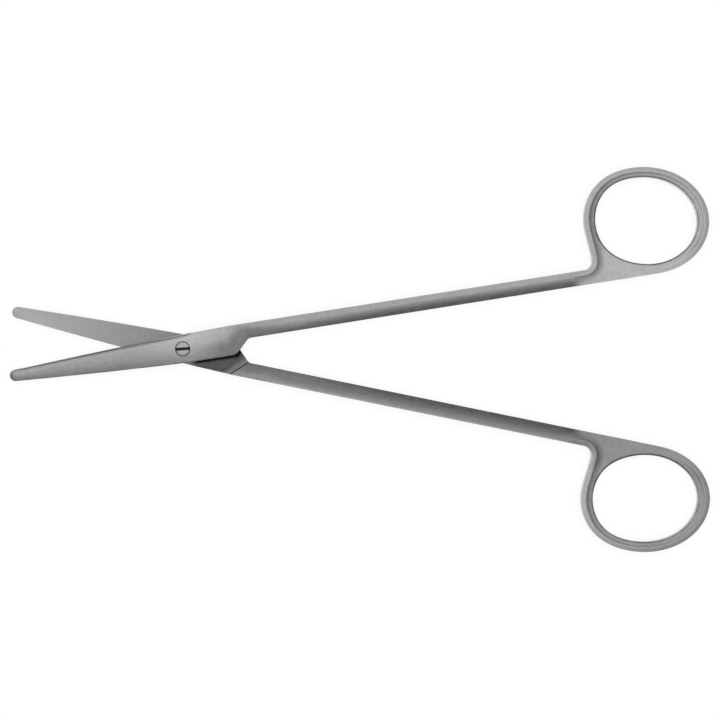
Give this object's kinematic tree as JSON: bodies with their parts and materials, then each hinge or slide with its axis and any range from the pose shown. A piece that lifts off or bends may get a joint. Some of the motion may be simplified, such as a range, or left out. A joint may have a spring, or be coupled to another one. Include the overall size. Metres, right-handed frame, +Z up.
{
  "type": "dissecting scissors",
  "caption": "Slim surgical dissecting scissors with blunt rounded tips, long shanks and oval finger rings, turning on a flush slotted screw.",
  "frame": {"origin": "where the pivot axis meets the table side of the joint: the ground land of the lower half with the flush end of the screw", "axes": "+X along the bisector of the two halves towards the finger rings, +Y towards the ring of the upper half, +Z up along the pivot axis through the slotted head"},
  "size_m": [0.1744, 0.0958, 0.0045],
  "materials": {
    "satin_steel": "satin brushed",
    "screw_steel": "fine turned, satin"
  },
  "bodies": {
    "lower": {"lower_half": "satin_steel", "pivot_screw": "screw_steel"},
    "upper": {"upper_half": "satin_steel"}
  },
  "joints": [
    {"name": "pivot", "type": "hinge", "parent": "lower", "child": "upper", "pos_m": [0, 0, 0], "axis": [0, 0, 1], "range_deg": [-20.5, 125]}
  ]
}
